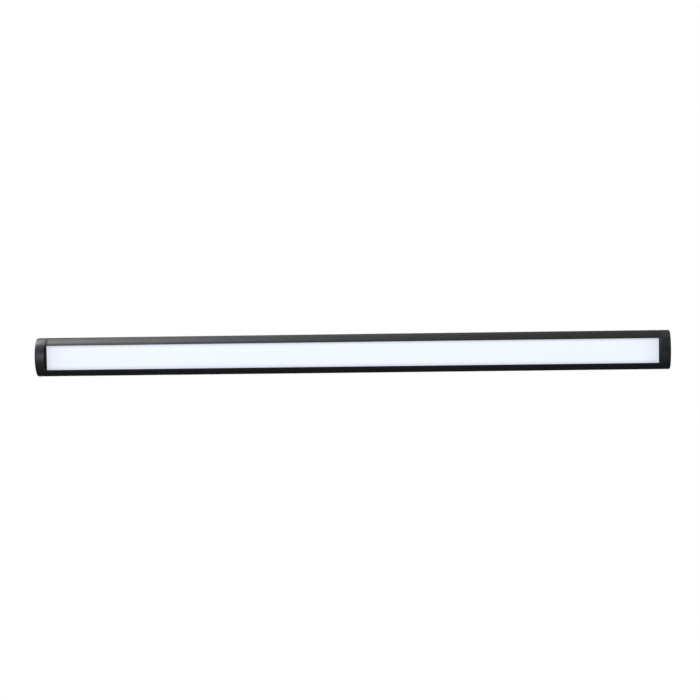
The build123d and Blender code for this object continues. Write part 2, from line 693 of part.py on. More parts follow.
def make_rear_cover():
    """Sheet that closes the chamber, with two hanging slots and a wiring window."""
    depth = (COVER_REAR, COVER_FRONT)
    half = CHAMBER - COVER_PLAY
    end = HOUSING_END - COVER_END_PLAY
    cover = block((-end, end), depth, (-half, half))
    slot_side = HOOK_WIDTH / 2 + SLOT_SIDE_PLAY
    slot_top = HOOK_TOP + SLOT_REST
    slot_bottom = HOOK_TOP - PLATE - HANG_LIFT - SLOT_PLAY
    for x in (-HOOK_X, HOOK_X):
        slot = block((x - slot_side, x + slot_side), depth, (slot_bottom, slot_top))
        cover -= fillet(slot.edges().filter_by(Axis.Y), SLOT_CORNER)
    window = block(WINDOW, depth, (-WINDOW_HALF, WINDOW_HALF))
    cover -= fillet(window.edges().filter_by(Axis.Y), WINDOW_CORNER)
    shank, head, height = M2_COUNTERSUNK
    for x, z in cover_screw_places():
        cover -= pin(shank + 0.15, x, z, depth)
        cone = Pos(0, 0, -height / 2) * Cone(shank + 0.05, head + 0.05, height)
        cover -= placed(cone, x, COVER_REAR, z, BACKWARD)
    return cover


def make_rear_cover_screws():
    screw = flat_screw(M2_COUNTERSUNK, COVER_SCREW_LENGTH)
    return [placed(screw, x, COVER_REAR, z, BACKWARD) for x, z in cover_screw_places()]


# ---- wall side ----
def make_wall_plate():
    """Flat plate with two lanced hooks, two wall-screw holes and a cable hole."""
    plate = block((-PLATE_END, PLATE_END), (0, PLATE), (-PLATE_HALF, PLATE_HALF))
    plate = fillet(plate.edges().filter_by(Axis.Y), PLATE_CORNER)
    half = HOOK_WIDTH / 2
    cut = half + HOOK_SIDE_CUT
    shelf_bottom = HOOK_TOP - PLATE
    lip_rear = HOOK_REACH - PLATE + 0.1
    for x in (-HOOK_X, HOOK_X):
        plate -= block((x - cut, x + cut), (0, PLATE), (shelf_bottom - HOOK_WINDOW, shelf_bottom))
        hook = block((x - half, x + half), (0, HOOK_REACH), (shelf_bottom, HOOK_TOP))
        hook += block((x - half, x + half), (lip_rear, HOOK_REACH), (HOOK_TOP, HOOK_TOP + HOOK_LIP))
        along = hook.edges().filter_by(Axis.X)
        front_bottom = along.sort_by(lambda edge: edge.center().Y + edge.center().Z)[0]
        plate += fillet(front_bottom, HOOK_BEND)
    for x in (-WALL_SCREW_X, WALL_SCREW_X):
        plate -= pin(WALL_HOLE, x, 0, (0, PLATE))
    return plate - pin(GROMMET_HOLE, CABLE_X, 0, (0, PLATE))


def make_cable_grommet():
    """Snap-in bush that guards the supply cable where it leaves the wall."""
    bush = pin(GROMMET_HOLE - 0.05, CABLE_X, 0, (0, PLATE))
    flange = pin(GROMMET_FLANGE, CABLE_X, 0, (PLATE, PLATE + GROMMET_FLANGE_DEPTH))
    flange = fillet(flange.edges().sort_by(Axis.Y)[0], 0.6)
    return bush + flange - pin(GROMMET_BORE, CABLE_X, 0, (0, PLATE + GROMMET_FLANGE_DEPTH))


# ---- write every node ----
def mirrored(solid):
    """The right-hand twin of a left-hand piece."""
    return mirror(solid, about=Plane.YZ)


def build_nodes():
    """All sub-parts by node name."""
    cap = make_end_cap()
    gasket = make_end_gasket()
    cap_screws = make_end_cap_screws()
    return {
        "wall_plate": make_wall_plate(),
        "cable_grommet": make_cable_grommet(),
        "housing": make_housing(),
        "diffuser": make_diffuser(),
        "end_cap_left": cap,
        "end_cap_right": mirrored(cap),
        "end_gasket_left": gasket,
        "end_gasket_right": mirrored(gasket),
        "end_cap_screws_left": group(cap_screws),
        "end_cap_screws_right": group(mirrored(screw) for screw in cap_screws),
        "thermal_pad": make_thermal_pad(),
        "led_board_left": make_led_board(-1),
        "led_board_right": make_led_board(1),
        "led_packages_left": group(make_led_packages(-1)),
        "led_packages_right": group(make_led_packages(1)),
        "board_link": make_board_link(),
        "board_screws": group(make_board_screws()),
        "reflector_top": make_reflector(1),
        "reflector_bottom": make_reflector(-1),
        "driver_tray": make_driver_tray(),
        "driver_cover": make_driver_cover(),
        "driver_board": make_driver_board(),
        "driver_transformer": group(make_driver_transformer()),
        "driver_capacitors": group(make_driver_capacitors()),
        "driver_components": group(make_driver_components()),
        "driver_screws": group(make_driver_screws()),
        "terminal_block": make_terminal_block(),
        "terminal_clamps": group(make_terminal_clamps()),
        "terminal_screws": group(make_terminal_screws()),
        "terminal_block_screw": make_terminal_block_screw(),
        "live_lead": make_mains_lead(1),
        "neutral_lead": make_mains_lead(-1),
        "earth_lead": make_earth_lead(),
        "earth_lug": make_earth_lug(),
        "earth_screw": make_earth_screw(),
        "led_lead_red": make_led_lead(1),
        "led_lead_black": make_led_lead(-1),
        "led_lead_grommet": make_led_lead_grommet(),
        "rear_cover": make_rear_cover(),
        "rear_cover_screws": group(make_rear_cover_screws()),
    }


os.makedirs("parts", exist_ok=True)
for name, shape in build_nodes().items():
    export_step(shape, f"parts/{name}.step")
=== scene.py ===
import json
import math

import bmesh
import bpy
from mathutils import Matrix, Vector


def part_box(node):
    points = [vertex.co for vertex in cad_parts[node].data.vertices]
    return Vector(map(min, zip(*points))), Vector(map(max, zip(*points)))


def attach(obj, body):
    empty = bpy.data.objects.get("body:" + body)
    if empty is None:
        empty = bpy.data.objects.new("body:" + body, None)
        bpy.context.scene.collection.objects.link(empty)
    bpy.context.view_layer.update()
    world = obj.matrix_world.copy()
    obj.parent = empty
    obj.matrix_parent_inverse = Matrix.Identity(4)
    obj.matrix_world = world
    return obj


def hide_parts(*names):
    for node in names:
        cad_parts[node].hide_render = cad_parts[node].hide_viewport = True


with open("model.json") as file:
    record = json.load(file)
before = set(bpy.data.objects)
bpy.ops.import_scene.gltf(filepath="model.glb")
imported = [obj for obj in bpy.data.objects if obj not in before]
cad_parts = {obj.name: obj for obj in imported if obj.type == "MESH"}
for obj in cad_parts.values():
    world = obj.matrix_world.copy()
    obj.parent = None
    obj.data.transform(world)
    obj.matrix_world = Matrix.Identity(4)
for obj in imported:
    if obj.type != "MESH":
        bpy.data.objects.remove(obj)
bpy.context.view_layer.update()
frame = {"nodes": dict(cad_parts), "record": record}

MM = 0.001

# ---- camera: stands a little above the bar and to its right ----
CAMERA_PLACE = (0.1163, -1.7722, 0.1310)
CAMERA_TURN = 3.806      # degrees to the left of straight at the wall
CAMERA_TILT = -4.163     # degrees, looking slightly down
CAMERA_ROLL = -1.001
CAMERA_LENS = 93.80      # millimetres, with the sensor below
SENSOR_WIDTH = 36.0
NEAREST = 0.01
FARTHEST = 50.0

# ---- places that the finishes need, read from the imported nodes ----
DIFFUSER_LOW, DIFFUSER_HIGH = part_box("diffuser")
FLANGE_REACH = 1.15 * MM                # how far each diffuser flange reaches behind its lip
APERTURE_HALF = DIFFUSER_HIGH.z - FLANGE_REACH
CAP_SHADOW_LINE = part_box("end_gasket_right")[1].x + 1.45 * MM    # where a fine line of painted shadow runs round each cap near its gasket
LED_LOW, LED_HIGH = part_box("led_packages_right")
LEDS_PER_BOARD = 24
LED_LENGTH = 3.5 * MM
LED_PITCH = (LED_HIGH.x - LED_LOW.x - LED_LENGTH) / (LEDS_PER_BOARD - 1)

# ---- what all finishes share ----
NOISE_LOW = 0.3          # noise mostly stays between these two values
NOISE_HIGH = 0.7
EDGE_STARTS = 0.99       # cosine of a rounded edge's turn where wear starts
EDGE_FULL = 0.85         # and where it is full
UNSTRETCHED = (1.0, 1.0, 1.0)
UNSHIFTED = (0.0, 0.0, 0.0)
WHITE = (1.0, 1.0, 1.0)


# ---- building blocks for finishes ----
class Finish:
    """One material whose colour, roughness and relief all come from procedural nodes."""

    def __init__(self, name):
        self.material = bpy.data.materials.new(name)
        self.material.use_nodes = True
        self.tree = self.material.node_tree
        self.shader = self.tree.nodes["Principled BSDF"]
        self.place = self.add("ShaderNodeTexCoord").outputs["Object"]
        self.normal = None

    def add(self, kind, **settings):
        node = self.tree.nodes.new(kind)
        for name, value in settings.items():
            setattr(node, name, value)
        return node

    def feed(self, socket, value):
        """Links a socket to another, or sets it to a number or a colour."""
        if isinstance(value, bpy.types.NodeSocket):
            self.tree.links.new(value, socket)
        elif isinstance(value, tuple) and len(value) == 3 and socket.type == "RGBA":
            socket.default_value = (*value, 1.0)
        else:
            socket.default_value = value

    def set(self, name, value):
        self.feed(self.shader.inputs[name], value)

    # -- textures, with the size of their features in metres --
    def scaled(self, size, stretch, shift=UNSHIFTED):
        """Object coordinates counted in features of a given size."""
        mapping = self.add("ShaderNodeMapping")
        self.feed(mapping.inputs["Vector"], self.place)
        self.feed(mapping.inputs["Location"], shift)
        self.feed(mapping.inputs["Scale"], tuple(1.0 / (size * s) for s in stretch))
        return mapping.outputs["Vector"]

    def noise(self, size, stretch=UNSTRETCHED, detail=3.0, rough=0.5, shift=UNSHIFTED, warp=0.0):
        node = self.add("ShaderNodeTexNoise")
        self.feed(node.inputs["Vector"], self.scaled(size, stretch, shift))
        self.feed(node.inputs["Scale"], 1.0)
        self.feed(node.inputs["Detail"], detail)
        self.feed(node.inputs["Roughness"], rough)
        self.feed(node.inputs["Distortion"], warp)
        return node.outputs["Fac"]

    def vary(self, size, low=0.0, high=1.0, **settings):
        """Noise that runs from one value to another."""
        return self.spread(self.noise(size, **settings), NOISE_LOW, NOISE_HIGH, low, high)

    def cells(self, size, stretch=UNSTRETCHED, output="Distance", feature="F1"):
        node = self.add("ShaderNodeTexVoronoi", feature=feature)
        self.feed(node.inputs["Vector"], self.scaled(size, stretch))
        self.feed(node.inputs["Scale"], 1.0)
        return node.outputs[output]

    # -- sums --
    def spread(self, source, start, stop, low=0.0, high=1.0, smooth=False):
        """Maps a range of one value on to another range, held at its ends."""
        node = self.add("ShaderNodeMapRange", interpolation_type="SMOOTHSTEP" if smooth else "LINEAR")
        for name, value in (("Value", source), ("From Min", start), ("From Max", stop),
                            ("To Min", low), ("To Max", high)):
            self.feed(node.inputs[name], value)
        return node.outputs["Result"]

    def between(self, source, start, stop, edge):
        """1 from start to stop and 0 outside them, with edges of a given width just inside."""
        return self.times(self.spread(source, start, start + edge), self.below(source, stop, edge))

    def below(self, source, stop, edge):
        """1 below a value and 0 above it, with an edge of a given width just below it."""
        return self.spread(source, stop - edge, stop, 1.0, 0.0)

    def calc(self, operation, first, second=0.0):
        node = self.add("ShaderNodeMath", operation=operation)
        self.feed(node.inputs[0], first)
        self.feed(node.inputs[1], second)
        return node.outputs[0]

    def times(self, first, *others):
        for other in others:
            first = self.calc("MULTIPLY", first, other)
        return first

    def plus(self, first, second):
        return self.calc("ADD", first, second)

    def minus(self, first, second):
        return self.calc("SUBTRACT", first, second)

    def unsigned(self, value):
        return self.calc("ABSOLUTE", value)

    def mix(self, amount, first, second):
        """The first colour where the amount is 0 and the second where it is 1."""
        node = self.add("ShaderNodeMix", data_type="RGBA")
        self.feed(node.inputs["Factor"], amount)
        self.feed(node.inputs[6], first)
        self.feed(node.inputs[7], second)
        return node.outputs[2]

    # -- places and directions --
    def axis(self, letter):
        node = self.add("ShaderNodeSeparateXYZ")
        self.feed(node.inputs[0], self.place)
        return node.outputs[letter]

    def distance(self, letter, place=0.0):
        """How far a point is from a place along one axis."""
        return self.unsigned(self.minus(self.axis(letter), place))

    def facing(self, letter):
        """How far the surface faces along one axis, -1 to 1."""
        geometry = self.add("ShaderNodeNewGeometry")
        node = self.add("ShaderNodeSeparateXYZ")
        self.feed(node.inputs[0], geometry.outputs["Normal"])
        return node.outputs[letter]

    def edges(self, radius, breakup=0.6 * MM, amount=1.0):
        """Worn places: near an edge, and broken up by noise."""
        rounded = self.add("ShaderNodeBevel", samples=6)
        self.feed(rounded.inputs["Radius"], radius)
        geometry = self.add("ShaderNodeNewGeometry")
        dot = self.add("ShaderNodeVectorMath", operation="DOT_PRODUCT")
        self.feed(dot.inputs[0], rounded.outputs["Normal"])
        self.feed(dot.inputs[1], geometry.outputs["Normal"])
        near = self.spread(dot.outputs["Value"], EDGE_STARTS, EDGE_FULL)
        patchy = self.spread(self.noise(breakup, detail=4.0), 0.42, 0.62, 0.15, 1.0)
        return self.times(near, patchy, amount)

    # -- surface --
    def relief(self, height, depth):
        """Adds a height texture of a real depth in metres to the surface."""
        node = self.add("ShaderNodeBump")
        self.feed(node.inputs["Strength"], 1.0)
        self.feed(node.inputs["Distance"], depth)
        self.feed(node.inputs["Height"], height)
        if self.normal is not None:
            self.feed(node.inputs["Normal"], self.normal)
        self.normal = node.outputs["Normal"]

    def done(self):
        if self.normal is not None:
            self.set("Normal", self.normal)
        return self.material


def shade(color, factor):
    """A colour made lighter or darker."""
    return tuple(min(1.0, c * factor) for c in color)


# ---- finishes of the bar's outside ----
DUST = (0.12, 0.12, 0.115)
# settled dust and a painted sheen on the caps' upward faces
SETTLED_DUST_AND_SHEEN = (0.085, 0.086, 0.083)
RUBBED_COATING = (0.17, 0.17, 0.175)
RUBBED_PLASTIC = (0.12, 0.12, 0.125)
DEEP_SHADOW = (0.004, 0.004, 0.004)


def powder_coat(name, color, gloss, peel_depth, die_lines):
    """Satin black coating: orange peel, fine grain, a little dust and rubbed edges."""
    f = Finish(name)
    clouds = f.noise(38 * MM, detail=4.0)
    specks = f.noise(0.45 * MM, detail=2.0)
    base = f.mix(f.spread(clouds, NOISE_LOW, NOISE_HIGH), shade(color, 0.88), shade(color, 1.14))
    base = f.mix(f.spread(specks, 0.60, 0.74, 0.0, 0.6), base, shade(color, 2.4))
    motes = f.spread(f.cells(2.6 * MM), 0.035, 0.06, 1.0, 0.0)
    dust = f.times(motes, f.spread(clouds, 0.45, 0.6))
    base = f.mix(f.times(dust, 0.5), base, DUST)
    worn = f.edges(0.35 * MM)
    f.set("Base Color", f.mix(f.times(worn, 0.5), base, RUBBED_COATING))
    rough = f.vary(26 * MM, gloss - 0.02, gloss + 0.02, detail=5.0, rough=0.6)
    rough = f.plus(rough, f.vary(0.6 * MM, -0.03, 0.03))
    rough = f.plus(rough, f.times(dust, 0.15))
    f.set("Roughness", f.minus(rough, f.times(worn, 0.08)))
    f.relief(f.noise(1.3 * MM, detail=2.0), peel_depth)
    f.relief(f.noise(0.22 * MM), peel_depth * 0.9)
    if die_lines:
        f.relief(f.noise(0.9 * MM, stretch=(260.0, 1.0, 1.0), detail=2.0), 0.0012 * MM)
    return f.done()


def housing_finish():
    return powder_coat("satin_black_powder_coat", (0.020, 0.0205, 0.022), 0.44, 0.005 * MM, True)


def black_sheet_finish():
    return powder_coat("black_painted_sheet", (0.028, 0.0285, 0.030), 0.52, 0.020 * MM, False)


def cap_finish():
    """Moulded black plastic with a fine spark-eroded texture, and a fine line of painted shadow round each
    cap beside its gasket.
    """
    f = Finish("moulded_satin_black")
    color = (0.024, 0.0245, 0.026)
    base = f.mix(f.vary(14 * MM, detail=4.0), shade(color, 0.88), shade(color, 1.14))
    # Upward faces made lighter: settled dust, and a painted sheen of the light from above.
    dust_and_sheen = f.spread(f.facing("Z"), 0.4, 0.9, 0.0, 0.2)
    base = f.mix(dust_and_sheen, base, SETTLED_DUST_AND_SHEEN)
    worn = f.edges(0.4 * MM, breakup=0.8 * MM)
    base = f.mix(f.times(worn, 0.3), base, RUBBED_PLASTIC)
    # Painted shadow: a dark line with no specular reflection round the cap beside its gasket, on the strips
    # above and below the aperture. It stands in for the shade in a narrow seam.
    off_shadow_line = f.unsigned(f.minus(f.distance("X"), CAP_SHADOW_LINE))
    line = f.below(off_shadow_line, 0.26 * MM, 0.06 * MM)
    line = f.times(line, f.spread(f.distance("Z"), APERTURE_HALF, APERTURE_HALF + MM))
    f.set("Base Color", f.mix(line, base, DEEP_SHADOW))
    f.set("Specular IOR Level", f.spread(line, 0.0, 1.0, 0.5, 0.0))
    rough = f.vary(4 * MM, 0.38, 0.46, detail=5.0)
    f.set("Roughness", f.minus(rough, f.times(worn, 0.1)))
    f.relief(f.cells(0.34 * MM), 0.016 * MM)
    f.relief(f.noise(0.16 * MM, detail=2.0), 0.006 * MM)
    f.relief(f.noise(3.2 * MM, detail=2.0), 0.006 * MM)
    return f.done()


GLOW = (0.805, 0.845, 0.960)
UNLIT = (0.0, 0.0, 0.0)
TOP_FADE = 3.0 * MM      # how far from the upper lip the glow is dimmed, and to what share
TOP_GLOW = 0.70
BOTTOM_FADE = 4.2 * MM
BOTTOM_GLOW = 0.76
END_FADE = 7 * MM
END_LOSS = 0.24
LEFT_GLOW = 0.957        # share of the right end's glow that the left end has
HIDDEN_EDGE = 0.1 * MM   # the flanges behind the lips stay dark


def diffuser_finish():
    """Opal cover lit from inside: even along its face and a little dimmer near its edges."""
    f = Finish("opal_diffuser")
    upper = f.minus(APERTURE_HALF, f.axis("Z"))
    lower = f.plus(f.axis("Z"), APERTURE_HALF)
    end = f.minus(DIFFUSER_HIGH.x, f.distance("X"))
    end_loss = f.times(f.calc("EXPONENT", f.times(end, -1.0 / END_FADE)), END_LOSS)
    glow = f.times(
        f.spread(upper, 0.0, TOP_FADE, TOP_GLOW, 1.0, smooth=True),
        f.spread(lower, 0.0, BOTTOM_FADE, BOTTOM_GLOW, 1.0, smooth=True),
        f.minus(1.0, end_loss),
        f.spread(f.axis("X"), DIFFUSER_LOW.x, DIFFUSER_HIGH.x, LEFT_GLOW, 1.0),
        f.vary(60 * MM, 0.993, 1.0),
        f.vary(0.6 * MM, 0.996, 1.0, detail=2.0),
        f.below(f.distance("Z"), APERTURE_HALF + HIDDEN_EDGE, HIDDEN_EDGE))
    f.set("Emission Color", f.mix(glow, UNLIT, GLOW))
    f.set("Emission Strength", 1.0)
    dust = f.spread(f.noise(7 * MM, detail=6.0), 0.35, 0.7)
    f.set("Base Color", f.mix(dust, (0.20, 0.205, 0.21), (0.22, 0.225, 0.23)))
    f.set("Roughness", f.vary(3 * MM, 0.44, 0.56, detail=4.0))
    f.relief(f.noise(0.3 * MM), 0.006 * MM)
    return f.done()


def gasket_finish():
    f = Finish("silicone_gasket")
    base = f.mix(f.noise(6 * MM), (0.014, 0.014, 0.015), (0.03, 0.03, 0.031))
    f.set("Base Color", f.mix(f.edges(0.2 * MM, amount=0.4), base, (0.06, 0.06, 0.06)))
    f.set("Roughness", f.vary(1.0 * MM, 0.6, 0.78))
    f.relief(f.noise(0.4 * MM), 0.01 * MM)
    return f.done()


# ---- metals ----
def plated_metal(name, dark, light, tint, rough_low, rough_high, size, metallic=1.0):
    """Plated or bright metal: slight colour drift, fine scratches and brighter rubbed edges."""
    f = Finish(name)
    base = f.mix(f.vary(size, detail=4.0, warp=0.6), dark, light)
    patches = f.noise(size * 2.3, shift=(3.1, 1.7, 0.4))
    base = f.mix(f.spread(patches, 0.5, 0.8, 0.0, 0.5), base, tint)
    worn = f.edges(0.2 * MM, breakup=0.4 * MM)
    f.set("Base Color", f.mix(f.times(worn, 0.6), base, shade(light, 1.25)))
    f.set("Metallic", metallic)
    scratches = f.noise(0.12 * MM, stretch=(14.0, 1.0, 5.0), detail=2.0)
    rough = f.vary(size * 0.4, rough_low, rough_high, detail=5.0)
    rough = f.plus(rough, f.spread(scratches, NOISE_LOW, NOISE_HIGH, -0.04, 0.04))
    f.set("Roughness", f.minus(rough, f.times(worn, 0.08)))
    f.relief(scratches, 0.003 * MM)
    return f.done()


def steel_screw_finish():
    return plated_metal("zinc_plated_screw", dark=(0.42, 0.43, 0.45), light=(0.60, 0.61, 0.62),
                        tint=(0.56, 0.55, 0.46), rough_low=0.24, rough_high=0.42, size=1.6 * MM)


def black_screw_finish():
    return plated_metal("black_plated_screw", dark=(0.022, 0.022, 0.024), light=(0.045, 0.045, 0.048),
                        tint=(0.05, 0.045, 0.04), rough_low=0.34, rough_high=0.5, size=1.6 * MM,
                        metallic=0.8)


def brass_finish():
    return plated_metal("bright_brass", dark=(0.60, 0.42, 0.17), light=(0.82, 0.63, 0.30),
                        tint=(0.62, 0.38, 0.18), rough_low=0.2, rough_high=0.36, size=2.0 * MM)


def galvanised_finish():
    """Zinc-plated sheet: soft spangle, rolling lines along the plate and bright sheared edges."""
    f = Finish("galvanised_sheet")
    spangle = f.add("ShaderNodeRGBToBW")
    f.feed(spangle.inputs[0], f.cells(7 * MM, stretch=(1.3, 1.0, 1.0), output="Color"))
    grey = spangle.outputs[0]
    base = f.mix(grey, (0.40, 0.41, 0.43), (0.58, 0.59, 0.60))
    bloom = f.spread(f.noise(30 * MM, detail=5.0, warp=0.5), 0.5, 0.72, 0.0, 0.45)
    base = f.mix(bloom, base, (0.66, 0.67, 0.67))
    worn = f.edges(0.3 * MM)
    f.set("Base Color", f.mix(f.times(worn, 0.6), base, (0.74, 0.75, 0.76)))
    f.set("Metallic", 1.0)
    rolled = f.noise(0.25 * MM, stretch=(120.0, 1.0, 1.0), detail=2.0)
    rough = f.spread(grey, 0.0, 1.0, 0.34, 0.50)
    rough = f.plus(rough, f.spread(rolled, NOISE_LOW, NOISE_HIGH, -0.05, 0.05))
    f.set("Roughness", f.plus(rough, f.times(bloom, 0.2)))
    f.relief(rolled, 0.003 * MM)
    f.relief(grey, 0.004 * MM)
    return f.done()


# ---- plastics, rubbers and coated parts inside the bar ----
def moulded(name, color, gloss, grain_size, grain_depth, worn_color):
    """Moulded part with a fine skin texture, slight colour drift and rubbed edges."""
    f = Finish(name)
    base = f.mix(f.vary(11 * MM, detail=4.0), shade(color, 0.9), shade(color, 1.06))
    worn = f.edges(0.25 * MM, breakup=0.5 * MM)
    f.set("Base Color", f.mix(f.times(worn, 0.4), base, worn_color))
    f.set("Roughness", f.vary(2.5 * MM, gloss - 0.07, gloss + 0.07, detail=4.0))
    f.relief(f.noise(grain_size), grain_depth)
    return f.done()


def driver_case_finish():
    return moulded("off_white_case", (0.74, 0.74, 0.70), 0.46, 0.35 * MM, 0.012 * MM, (0.86, 0.86, 0.84))


def connector_finish():
    return moulded("ivory_nylon", (0.80, 0.77, 0.68), 0.40, 0.3 * MM, 0.006 * MM, (0.88, 0.87, 0.82))


def terminal_finish():
    return moulded("natural_nylon", (0.76, 0.75, 0.69), 0.34, 0.5 * MM, 0.008 * MM, (0.88, 0.88, 0.84))


def reflector_finish():
    return moulded("white_reflector_film", (0.86, 0.86, 0.86), 0.30, 0.6 * MM, 0.004 * MM, (0.93, 0.93, 0.93))


def insulation(name, color, stripe=None):
    """Lead insulation: smooth PVC with faint drawing lines, and a second colour if it has one."""
    f = Finish(name)
    base = f.mix(f.vary(5 * MM), shade(color, 0.82), shade(color, 1.12))
    if stripe:
        high = f.spread(f.facing("Z"), 0.30, 0.36)
        low = f.below(f.facing("Z"), -0.30, 0.06)
        base = f.mix(f.calc("MAXIMUM", high, low), base, stripe)
    scuffs = f.spread(f.noise(1.2 * MM, detail=5.0), 0.6, 0.75, 0.0, 0.25)
    f.set("Base Color", f.mix(scuffs, base, (0.4, 0.4, 0.38)))
    f.set("Roughness", f.vary(2 * MM, 0.32, 0.48, detail=4.0))
    f.relief(f.noise(0.3 * MM, stretch=(30.0, 1.0, 1.0)), 0.01 * MM)
    return f.done()


def live_lead_finish():
    return insulation("brown_insulation", (0.17, 0.066, 0.025))


def neutral_lead_finish():
    return insulation("blue_insulation", (0.025, 0.09, 0.40))


def earth_lead_finish():
    return insulation("green_yellow_insulation", (0.06, 0.34, 0.07), stripe=(0.72, 0.66, 0.05))


def red_lead_finish():
    return insulation("red_insulation", (0.50, 0.025, 0.02))


def black_lead_finish():
    return insulation("black_insulation", (0.018, 0.018, 0.019))


def thermal_pad_finish():
    """Grey silicone pad filled with light and dark mineral grains."""
    f = Finish("filled_silicone_pad")
    grains = f.spread(f.cells(0.35 * MM), 0.1, 0.6)
    base = f.mix(grains, (0.46, 0.48, 0.52), (0.36, 0.38, 0.42))
    f.set("Base Color", f.mix(f.spread(f.noise(8 * MM), 0.4, 0.7, 0.0, 0.5), base, (0.50, 0.52, 0.55)))
    f.set("Roughness", f.vary(1.0 * MM, 0.62, 0.8))
    f.relief(grains, 0.02 * MM)
    return f.done()


# ---- light engine ----
PRINT_EDGE = 0.1 * MM    # softness of a printed edge on the boards


def from_led(f):
    """Distance along the bar from the middle of the nearest LED package."""
    half = LED_PITCH / 2
    return f.minus(half, f.calc("PINGPONG", f.distance("X"), half))


def led_board_finish():
    """White solder mask with silvered pads at each package and faint tracks under the mask."""
    f = Finish("white_led_board")
    across = f.distance("Z")
    pads = f.between(from_led(f), 1.2 * MM, 2.6 * MM, PRINT_EDGE)
    pads = f.times(pads, f.below(across, 1.3 * MM, PRINT_EDGE))
    track = f.between(across, 3.0 * MM, 4.7 * MM, PRINT_EDGE)
    mask = f.mix(f.vary(9 * MM, detail=4.0), (0.80, 0.81, 0.80), (0.88, 0.88, 0.86))
    mask = f.mix(f.times(track, 0.25), mask, (0.70, 0.71, 0.68))
    f.set("Base Color", f.mix(pads, mask, (0.66, 0.66, 0.64)))
    f.set("Metallic", pads)
    f.set("Roughness", f.vary(1.4 * MM, 0.28, 0.42, detail=4.0))
    f.relief(track, 0.03 * MM)
    f.relief(f.noise(0.5 * MM), 0.006 * MM)
    return f.done()


def led_package_finish():
    """White package with a yellow phosphor well in its middle."""
    f = Finish("led_package")
    reach = f.plus(f.calc("POWER", from_led(f), 2.0), f.calc("POWER", f.distance("Z"), 2.0))
    reach = f.calc("SQRT", reach)
    well = f.below(reach, 1.12 * MM, 0.07 * MM)
    phosphor = f.mix(f.noise(0.25 * MM), (0.80, 0.62, 0.10), (0.88, 0.74, 0.22))
    body = f.mix(f.noise(1.0 * MM), (0.80, 0.80, 0.77), (0.88, 0.88, 0.86))
    f.set("Base Color", f.mix(well, body, phosphor))
    f.set("Roughness", f.spread(well, 0.0, 1.0, 0.45, 0.22))
    f.relief(f.noise(0.2 * MM), 0.01 * MM)
    return f.done()


# ---- driver ----
TAPE_HALF = 6.35 * MM        # half the width of the tape round the transformer's winding
CORE_HALF = 7.5 * MM         # half the height of its core
CORE_FOOT = 1.1 * MM         # thickness of the core below the winding
FUSE_END = 13 * MM           # places along the board, from the first component's end
CHOKE_SPAN = (56 * MM, 75 * MM)
FILM_CAPACITOR_SPAN = (138 * MM, 157 * MM)
PART_EDGE = 1 * MM           # these edges fall in the gaps between components


def circuit_board_finish():
    """Green solder mask over copper tracks, with silvered pads."""
    f = Finish("green_circuit_board")
    weave = f.noise(0.5 * MM, detail=2.0)
    mask = f.mix(f.vary(12 * MM), (0.018, 0.13, 0.05), (0.03, 0.19, 0.08))
    nets = f.cells(5 * MM, stretch=(2.4, 1.0, 1.0), feature="DISTANCE_TO_EDGE")
    tracks = f.below(nets, 0.14, 0.04)
    mask = f.mix(f.times(tracks, 0.7), mask, (0.05, 0.30, 0.11))
    pads = f.below(f.cells(3.1 * MM), 0.17, 0.03)
    f.set("Base Color", f.mix(pads, mask, (0.62, 0.62, 0.60)))
    f.set("Metallic", pads)
    f.set("Roughness", f.spread(weave, NOISE_LOW, NOISE_HIGH, 0.24, 0.38))
    f.relief(tracks, 0.03 * MM)
    f.relief(weave, 0.01 * MM)
    return f.done()


def transformer_finish():
    """Dark ferrite core round a winding wrapped in yellow tape."""
    f = Finish("ferrite_and_tape")
    low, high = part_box("driver_transformer")
    middle = (low + high) / 2
    past_core = f.spread(f.distance("Z", middle.z), CORE_HALF, CORE_HALF + 0.05 * MM)
    over_tape = f.below(f.distance("X", middle.x), TAPE_HALF, 0.1 * MM)
    above_foot = f.spread(f.axis("Y"), low.y + CORE_FOOT, low.y + CORE_FOOT + 0.2 * MM)
    taped = f.calc("MAXIMUM", past_core, f.times(over_tape, above_foot))
    ferrite = f.mix(f.noise(0.8 * MM, detail=4.0), (0.035, 0.035, 0.038), (0.075, 0.075, 0.078))
    ferrite = f.mix(f.edges(0.3 * MM), ferrite, (0.16, 0.16, 0.16))
    layers = f.noise(0.6 * MM, stretch=(40.0, 1.0, 40.0), detail=2.0)
    tape = f.mix(layers, (0.62, 0.46, 0.05), (0.78, 0.62, 0.12))
    f.set("Base Color", f.mix(taped, ferrite, tape))
    f.set("Roughness", f.spread(taped, 0.0, 1.0, 0.62, 0.34))
    f.relief(f.noise(0.4 * MM, detail=4.0), 0.02 * MM)
    f.relief(layers, 0.02 * MM)
    return f.done()


def capacitor_finish():
    """Dark sleeve with a paler stripe along it, and bare aluminium at the vented end."""
    f = Finish("sleeved_capacitor")
    end = f.spread(f.unsigned(f.facing("X")), 0.80, 0.86)
    stripe = f.spread(f.facing("Z"), 0.86, 0.9)
    sleeve = f.mix(f.vary(3 * MM), (0.025, 0.030, 0.075), (0.04, 0.048, 0.11))
    sleeve = f.mix(stripe, sleeve, (0.36, 0.38, 0.44))
    f.set("Base Color", f.mix(end, sleeve, (0.70, 0.71, 0.72)))
    f.set("Metallic", end)
    f.set("Roughness", f.vary(1.5 * MM, 0.26, 0.4, detail=4.0))
    f.relief(f.noise(0.7 * MM, stretch=(6.0, 1.0, 1.0)), 0.02 * MM)
    return f.done()


